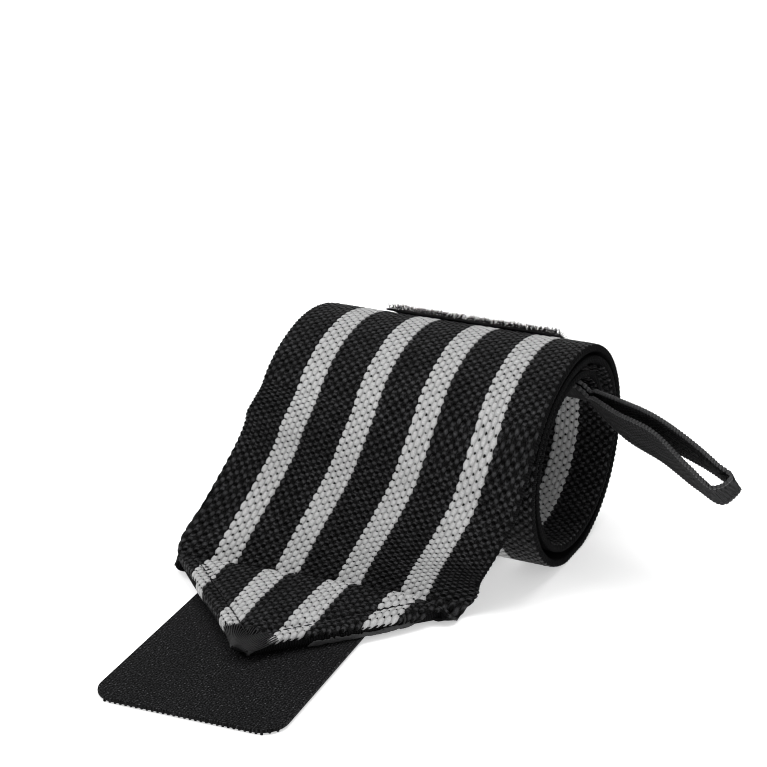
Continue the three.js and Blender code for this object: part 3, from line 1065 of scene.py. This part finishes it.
def make_sewing(size, colours):
    """The seam, the sewing of both folds, one loose thread, the satin tack and the frayed edge."""
    ribbon = band_ribbon(size)

    def lay(ribbon, flat):
        return upper_face(size, ribbon, flat)

    places, ways = seam_lines(size)
    loose = -0.3 * size.point_length
    places = np.vstack([places, (ribbon.at(ribbon.half, loose) + 0.5 * MM, loose)])
    ways = np.vstack([ways, (0.9, -0.5)])
    thread = material_of("sewing_thread", lambda: thread_material("sewing_thread", colours.thread))
    radius = size.thread_radius
    rows = thread_row("seam_thread", ribbon, lay, places, ways, SEWING_STITCH, radius, thread, 0.1 * MM)
    satin = material_of("satin_thread", lambda: thread_material("satin_thread", colours.satin))
    tack = satin_tack(size, ribbon, lay, satin)
    fray = material_of("frayed_edge", lambda: Nodes("frayed_edge", colours.cut_edge, 0.9).material)
    return [rows, tack, frayed_edge(size, ribbon, lay, fray)]


# The hook tape tab


def tab_matrix(size):
    """Where the tab lies: its rear edge at the seam, turned a little."""
    place = Matrix.Translation((size.tab_shift - size.side_drift, -size.seam_reach - size.seam_blend, 0))
    return place @ Matrix.Rotation(size.tab_turn, 4, "Z")


def tab_backing(size):
    """The tab's woven backing, with rounded front corners and a softened rim."""
    backing = size.tab_thickness - size.hook_height
    bm = bmesh.new()
    bmesh.ops.create_cube(bm, size=1)
    bmesh.ops.scale(bm, verts=bm.verts, vec=(size.tab_width, size.tab_length, backing))
    middle = (0, -size.tab_length / 2, size.hook_height + backing / 2)
    bmesh.ops.translate(bm, verts=bm.verts, vec=middle)
    upright = [e for e in bm.edges if abs(e.verts[0].co.z - e.verts[1].co.z) > 0.5 * backing]
    front = [e for e in upright if e.verts[0].co.y < -size.tab_length / 2]
    corner = size.tab_corner
    bmesh.ops.bevel(bm, geom=front, offset=corner, affect="EDGES", segments=12, profile=0.5, material=-1)
    rim = [e for e in bm.edges if abs(e.verts[0].co.z - e.verts[1].co.z) < 0.1 * MM and e.is_manifold]
    rim = [e for e in rim if e.calc_face_angle() > 0.5]
    bmesh.ops.bevel(bm, geom=rim, offset=0.25 * MM, affect="EDGES", segments=3, profile=0.5, material=-1)
    return new_object("hook_tape", bm)


def hook_field(size):
    """The field of small hooks below the tab, as far as its rounded corners."""
    rim = 0.6 * MM
    foot, head = 0.36 * MM, 0.32 * MM
    columns = int((size.tab_width - rim) / size.hook_pitch)
    rows = int((size.tab_length - rim) / size.hook_pitch)
    hook = bmesh.new()
    bmesh.ops.create_cone(
        hook, cap_ends=True, segments=6, radius1=foot, radius2=head, depth=size.hook_height
    )
    left = -(columns - 1) / 2 * size.hook_pitch
    first = (left, 0.7 * MM - size.tab_length, size.hook_height / 2 + 0.05 * MM)
    bmesh.ops.translate(hook, verts=hook.verts, vec=first)
    each = len(hook.verts)
    mesh = arrayed(hook, (columns, rows), ((size.hook_pitch, 0, 0), (0, size.hook_pitch, 0)))
    field = bmesh.new()
    field.from_mesh(mesh)
    bpy.data.meshes.remove(mesh)
    middles = np.array([v.co[:] for v in field.verts]).reshape(-1, each, 3).mean(1)
    inward = np.maximum(np.abs(middles[:, 0]) - size.tab_width / 2 + size.tab_corner, 0)
    ahead = np.maximum(-middles[:, 1] - size.tab_length + size.tab_corner, 0)
    keep_islands(field, np.hypot(inward, ahead) < size.tab_corner + 0.15 * MM, each)
    return new_object("hook_field", field)


def make_tab(size, colours):
    """The hook tape: a woven backing, and its field of small hooks below."""
    weave = material_of("hook_tape_weave", lambda: hook_tape_material(colours))
    tab, hooks = tab_backing(size), hook_field(size)
    for piece in (tab, hooks):
        write_uv(piece.data, get_points(piece.data))
        piece.data.transform(tab_matrix(size))
        finish_piece(piece, weave)
    return tab, hooks


# The pile patch


def patch_ribbon(size):
    """The path of the patch's upper face on the back of the roll."""
    turns = np.arange(0, 360, TURN_STEP)
    points = roll_point(size, turns)
    arc = np.r_[0, np.cumsum(np.linalg.norm(np.diff(points, axis=0), axis=1))]
    s = np.linspace(0, size.patch_length, 240)
    turn = np.interp(size.patch_setback + s, arc, turns)
    run = roll_run(size, turn)
    way = np.column_stack([0 * s, run])
    side = np.tile((1.0, 0, 0), (len(s), 1))
    out = np.cross(side, way)
    base = np.column_stack([0 * s + size.patch_shift, roll_point(size, turn)])
    place = base + out * (size.seat_gap + size.patch_thickness)
    half = np.full(len(s), size.patch_width / 2)
    thick = np.full(len(s), size.patch_thickness)
    return Ribbon(s, place, side, out, half, thick, 0 * s)


def patch_backing(size, ribbon):
    """The patch's thin backing, in the lower part of its thickness."""
    obj, u, s, h, thick = ribbon_slab("pile_backing", ribbon, (0, size.patch_length), 24, 60, 3)
    squeezed = (h + thick / 2) / thick * size.backing
    laid = ribbon.lay(np.column_stack([u, s, squeezed - size.patch_thickness]))
    write_uv(obj.data, np.column_stack([u, s]))
    set_points(obj.data, above_floor(laid, 0.3 * MM))
    weld(obj)
    return obj


def pile_fibre():
    """One fibre of unit size, upright on its root, that can bend at two places."""
    bm = bmesh.new()
    bmesh.ops.create_cone(bm, cap_ends=False, segments=3, radius1=1, radius2=0.5, depth=1)
    bmesh.ops.translate(bm, verts=bm.verts, vec=(0, 0, 0.5))
    upright = [e for e in bm.edges if abs(e.verts[0].co.z - e.verts[1].co.z) > 0.5]
    bmesh.ops.subdivide_edges(bm, edges=upright, cuts=2, use_grid_fill=True)
    return bm


def pile_field(size, ribbon):
    """The pile: short fibres at uneven places, bent in all directions."""
    columns, rows = 84, 118
    rim = 0.6 * MM
    bm = pile_fibre()
    each = len(bm.verts)
    mesh = arrayed(bm, (columns * rows,), ((0, 0, 0),))
    random = np.random.default_rng(11)
    local = get_points(mesh).reshape(-1, each, 3)
    count = len(local)
    grid_u, grid_s = np.divmod(np.arange(count), rows)
    root_u = ((grid_u + random.uniform(0, 1, count)) / columns - 0.5) * (size.patch_width - rim)
    root_s = (grid_s + random.uniform(0, 1, count)) / rows * (size.patch_length - rim) + rim / 2
    tall = size.pile_height * random.uniform(0.7, 1.35, count)
    way = random.uniform(0, 2 * math.pi, count)
    bend = random.uniform(0.3, 1.3, count)
    up = local[:, :, 2]
    lean = tall[:, None] * bend[:, None] * np.sin(up * 2.2) * 0.8
    height = tall[:, None] * np.sin(up * 1.9)
    flat_u = root_u[:, None] + local[:, :, 0] * size.fibre_radius + lean * np.cos(way)[:, None]
    flat_s = root_s[:, None] + local[:, :, 1] * size.fibre_radius + lean * np.sin(way)[:, None]
    root = size.backing - size.patch_thickness - 0.1 * MM
    flat = np.stack([flat_u, flat_s, height + root], -1).reshape(-1, 3)
    set_points(mesh, above_floor(ribbon.lay(flat)))
    mesh.name = "pile_fibres"
    return link_mesh("pile_fibres", mesh)


def make_patch(size, colours):
    """The pile patch: its backing, and a field of short bent fibres over it."""
    pile = material_of("pile_fibre", lambda: pile_material(colours))
    ribbon = patch_ribbon(size)
    backing = finish_piece(patch_backing(size, ribbon), pile)
    return backing, finish_piece(pile_field(size, ribbon), pile)


# The thumb loop


def centripetal(points, samples):
    """Points on a centripetal curve through given points."""
    points = np.asarray(points, float)
    ends = np.vstack([2 * points[0] - points[1], points, 2 * points[-1] - points[-2]])
    made = []
    for k in range(len(points) - 1):
        near = ends[k : k + 4]
        gaps = np.linalg.norm(np.diff(near, axis=0), axis=1)
        knot = np.r_[0, np.cumsum(np.sqrt(np.maximum(gaps, 1e-7)))]
        t = np.linspace(knot[1], knot[2], samples, endpoint=k == len(points) - 2)[:, None]

        def blend(a, b, low, high):
            return (a * (high - t) + b * (t - low)) / (high - low)

        first = [blend(near[i], near[i + 1], knot[i], knot[i + 1]) for i in range(3)]
        second = [blend(first[i], first[i + 1], knot[i], knot[i + 2]) for i in range(2)]
        made.append(blend(second[0], second[1], knot[1], knot[2]))
    return np.vstack(made)


def seat_depth(size, seat, run, inward):
    """How deep the band's inner face stands, at most, across the flat tape that is sewn to it."""
    last = WINDINGS[-1][0]
    turns = np.arange(last - 90, last + 0.5, 1.0)
    run_rows = roll_run(size, turns)
    into = np.stack([-run_rows[:, 1], run_rows[:, 0]], -1)
    centre = np.array([0, size.roll_height / 2])
    wrong = ((centre - roll_point(size, turns)) * into).sum(1) < 0
    into[wrong] = -into[wrong]
    inside = roll_point(size, turns) + into * size.band_thickness - seat
    near = np.abs(inside @ run) < size.tape_width / 2
    return max(size.band_thickness, float((inside[near] @ inward).max()))


def loop_seat(size, turn):
    """Where the tape is sewn in the roll: the place (y, z), the roll's way there and the way inwards."""
    run = roll_run(size, turn)[0]
    inward = np.array([-run[1], run[0]])
    seat = roll_point(size, turn)[0]
    if inward @ (seat - (0, size.roll_height / 2)) > 0:
        inward = -inward
    depth = seat_depth(size, seat, run, inward) + 1.5 * size.seat_gap
    return seat + inward * depth, run, inward


def loop_curve(size, seat, inward):
    """The middle of the tape: out along the far leg, round the tip and back along the near one."""
    seat, inward = np.r_[0, seat], np.r_[0, inward]
    apart_least = size.tape_thickness + size.seat_gap
    start = size.band_width / 2 - 3 * MM
    rows = [(-size.root_depth / size.loop_reach, 0, 0, 0), *LOOP_ROWS]
    near, far = [], []
    for out_share, sway, drop, opening in rows:
        apart = max(size.loop_opening * opening, apart_least)
        middle = seat + inward * (size.tape_thickness + apart) / 2
        out = start + out_share * size.loop_reach
        middle = middle + (out, -sway * size.loop_sway, -drop * size.loop_drop)
        far.append(middle - inward * apart / 2)
        near.append(middle + inward * apart / 2)
    tip = seat + inward * (size.tape_thickness + apart_least) / 2
    tip = tip + (start + size.loop_reach, -size.loop_sway, -size.loop_drop)
    return centripetal([*far, tip, *near[::-1]], 40)


def loop_ribbon(size):
    """The thumb loop's tape: out along one leg, round the tip and back along the other."""
    step = 0.15 * MM
    pinch_length = 4.5 * MM
    seat, run, inward = loop_seat(size, np.array([math.degrees(size.root_turn)]))
    curve = loop_curve(size, seat, inward)
    arc = np.r_[0, np.cumsum(np.linalg.norm(np.diff(curve, axis=0), axis=1))]
    s = np.arange(0, arc[-1], step)
    place = np.stack([np.interp(s, arc, curve[:, k]) for k in range(3)], -1)
    way = unit(np.gradient(place, axis=0))
    outside = np.clip((place[:, 0] - size.band_width / 2) / size.loop_reach, 0, 1)
    eased = 1 - 0.8 * smooth(outside, 0.3, 0.9)
    angle = size.loop_twist * np.sqrt(outside) * eased
    along_y = run[0] * np.cos(angle) + run[1] * np.sin(angle)
    along_z = run[1] * np.cos(angle) - run[0] * np.sin(angle)
    across = np.column_stack([0 * s, along_y, along_z])
    across = unit(across - (across * way).sum(1)[:, None] * way)
    out = unit(np.cross(across, way))
    at_tip = hill(s, s[-1] / 2, pinch_length)
    half = size.tape_width / 2 * (1 - size.tip_pinch * at_tip)
    thick = np.full(len(s), size.tape_thickness)
    return Ribbon(s, place + out * (thick / 2)[:, None], across, out, half, thick, 0 * s)


def loop_edges(size, ribbon, material):
    """The tape's braided edges: a row of slanting strands along each."""
    at = np.arange(0.5 * size.edge_pitch, ribbon.s[-1], size.edge_pitch)
    edge_u = ribbon.at(ribbon.half, at)
    places = np.vstack([np.column_stack([sign * edge_u, at]) for sign in (-1, 1)])
    ways = np.vstack([np.column_stack([0 * at + sign, 0 * at + 0.6]) for sign in (-1, 1)])

    def lay(ribbon, flat):
        return ribbon.lay(flat - (0, 0, size.tape_thickness / 2))

    strand = 0.95 * size.edge_pitch
    radius = 0.52 * size.tape_thickness
    return thread_row("thumb_loop_edges", ribbon, lay, places, ways, strand, radius, material)


def make_loop(size, colours):
    """The thumb loop: a ribbed elastic tape with raised, braided edges."""
    ribbon = loop_ribbon(size)
    rows = int(ribbon.s[-1] / (0.19 * MM))
    obj, u, s, h, thick = ribbon_slab("thumb_loop_tape", ribbon, (0, ribbon.s[-1]), 26, rows, 4)
    edge_swell, rib_wander = 0.25 * MM, 0.9 * MM
    half = ribbon.at(ribbon.half, s)
    edge = smooth(np.abs(u), half - 2.2 * MM, half - 1.4 * MM)
    phase = 2 * math.pi * s / size.rib_pitch
    ribs = np.cos(phase + edge * math.pi + 0.5 * np.sin(u / rib_wander))
    raised = size.rib_height * (ribs - 1) * np.sign(h)
    wide = edge_swell * edge * ribs * np.sign(u)
    laid = ribbon.lay(np.column_stack([u + wide, s, h + raised - thick / 2]))
    write_uv(obj.data, np.column_stack([u, s]))
    set_points(obj.data, laid)
    weld(obj)
    tape = finish_piece(obj, material_of("webbing_ribs", lambda: webbing_material(colours)))
    # The edge strands take the lighter edge colour: a painted highlight along the braided edges.
    lit = material_of("lit_webbing_edge", lambda: thread_material("lit_webbing_edge", colours.edge))
    loop_edges(size, ribbon, lit)
    return tape


# The stage


def make_floor(colours):
    """A wide pale floor that glows a little, as the studio's paper does."""
    bm = bmesh.new()
    bmesh.ops.create_grid(bm, x_segments=1, y_segments=1, size=6)
    floor = new_object("floor", bm)
    nodes = Nodes("floor_paper", colours.floor, 0.9)
    nodes.shade(colours.floor, nodes.uneven(nodes.object_place(), 3.0, 0.995, 1.005))
    nodes.set(nodes.shader, "Emission Color", (1, 1, 1, 1))
    nodes.set(nodes.shader, "Emission Strength", 0.45)
    floor.data.materials.append(nodes.material)


def make_lights(scene):
    """Soft light from all round, and three area lights that point at the roll."""
    world = bpy.data.worlds.new("studio")
    world.use_nodes = True
    background = world.node_tree.nodes["Background"]
    background.inputs["Color"].default_value = (1, 1, 1, 1)
    background.inputs["Strength"].default_value = 0.5
    scene.world = world
    lights = (
        ("key", (-0.5, -0.45, 0.8), 0.6, 4.6),
        ("fill", (0.8, -0.5, 0.5), 0.8, 1.2),
        ("top", (0.05, 0.25, 0.95), 0.6, 3.2),
    )
    for name, place, wide, watts in lights:
        data = bpy.data.lights.new(name, "AREA")
        data.size = wide
        data.energy = watts
        lamp = bpy.data.objects.new(name, data)
        lamp.location = place
        lamp.rotation_euler = (-Vector(place)).to_track_quat("-Z", "Y").to_euler()
        scene.collection.objects.link(lamp)


def make_camera(scene):
    """The camera of the photograph, from in front on the right and above."""
    azimuth, elevation = math.radians(25.75), math.radians(20.91)
    distance = 0.5326
    aim = Vector((0, -0.030, 0.020))
    aim_right, aim_up = -0.00274, 0.03115
    data = bpy.data.cameras.new("camera")
    data.lens = 95.2
    data.sensor_width = 36
    data.clip_start = 0.01
    camera = bpy.data.objects.new("camera", data)
    level = math.cos(elevation)
    right = Vector((math.cos(azimuth), math.sin(azimuth), 0))
    back = Vector((math.sin(azimuth) * level, -math.cos(azimuth) * level, math.sin(elevation)))
    up = back.cross(right)
    target = aim + right * aim_right + up * aim_up
    rotation = Matrix((right, up, back)).transposed()
    camera.matrix_world = Matrix.Translation(target + back * distance) @ rotation.to_4x4()
    scene.collection.objects.link(camera)
    scene.camera = camera


def make_stage(colours):
    """A pale floor, soft light from above and the sides, and the camera of the photograph."""
    scene = bpy.context.scene
    make_floor(colours)
    make_lights(scene)
    make_camera(scene)
    scene.render.engine = "CYCLES"
    scene.render.resolution_x = 767
    scene.render.resolution_y = 767
    scene.view_settings.view_transform = "Standard"
    scene.view_settings.exposure = 0.0
    scene.cycles.samples = 160
    scene.cycles.use_denoising = True
    scene.cycles.filter_width = 1.0


# Operators


def settings(context):
    """The sizes and the colours of the scene."""
    return context.scene.wrap_sizes, context.scene.wrap_colours


class WRAP_OT_stage(bpy.types.Operator):
    """Sets up the floor, the lights and the camera"""

    bl_idname = "wrap.stage"
    bl_label = "Set up the stage"

    def execute(self, context):
        make_stage(settings(context)[1])
        return {"FINISHED"}


class WRAP_OT_band(bpy.types.Operator):
    """Knits the band and sews its seam, folds and tip"""

    bl_idname = "wrap.band"
    bl_label = "Make the knit band"

    def execute(self, context):
        size, colours = settings(context)
        ground = make_ground(size, colours)
        others = [*make_stitches(size, colours), *make_sewing(size, colours)]
        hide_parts("band")
        ribbon = band_ribbon(size)
        return {"FINISHED"}


class WRAP_OT_tab(bpy.types.Operator):
    """Makes the hook tape tab under the point"""

    bl_idname = "wrap.tab"
    bl_label = "Make the hook tape tab"

    def execute(self, context):
        size, colours = settings(context)
        tab, hooks = make_tab(size, colours)
        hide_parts("hook_tab")
        return {"FINISHED"}


class WRAP_OT_patch(bpy.types.Operator):
    """Makes the pile patch on the back of the roll"""

    bl_idname = "wrap.patch"
    bl_label = "Make the pile patch"

    def execute(self, context):
        size, colours = settings(context)
        backing, fibres = make_patch(size, colours)
        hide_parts("loop_patch")
        return {"FINISHED"}


class WRAP_OT_loop(bpy.types.Operator):
    """Makes the thumb loop's ribbed tape"""

    bl_idname = "wrap.loop"
    bl_label = "Make the thumb loop"

    def execute(self, context):
        size, colours = settings(context)
        tape = make_loop(size, colours)
        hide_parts("thumb_loop")
        flat = (size.tape_width, float(loop_ribbon(size).s[-1]))
        return {"FINISHED"}


class WRAP_PT_sidebar(bpy.types.Panel):
    """Sizes, colours and steps of the wrist wrap"""

    bl_idname = "WRAP_PT_sidebar"
    bl_label = "Wrist wrap"
    bl_space_type = "VIEW_3D"
    bl_region_type = "UI"
    bl_category = "Wrist wrap"

    def draw(self, context):
        size, colours = settings(context)
        for operator in OPERATORS:
            self.layout.operator(operator.bl_idname)
        for group in (size, colours):
            box = self.layout.box()
            for name in group.__annotations__:
                box.prop(group, name)


OPERATORS = (WRAP_OT_stage, WRAP_OT_band, WRAP_OT_tab, WRAP_OT_patch, WRAP_OT_loop)
CLASSES = (WrapSizes, WrapColours, *OPERATORS, WRAP_PT_sidebar)


def register():
    """Registers the classes, and the sizes and colours of each scene."""
    for each in CLASSES:
        bpy.utils.register_class(each)
    bpy.types.Scene.wrap_sizes = bpy.props.PointerProperty(type=WrapSizes)
    bpy.types.Scene.wrap_colours = bpy.props.PointerProperty(type=WrapColours)


def unregister():
    """Takes back what register did."""
    del bpy.types.Scene.wrap_colours
    del bpy.types.Scene.wrap_sizes
    for each in reversed(CLASSES):
        bpy.utils.unregister_class(each)


def main():
    """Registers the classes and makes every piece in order."""
    register()
    bpy.ops.wrap.stage()
    bpy.ops.wrap.tab()
    bpy.ops.wrap.band()
    bpy.ops.wrap.patch()
    bpy.ops.wrap.loop()


if __name__ == "__main__":
    main()
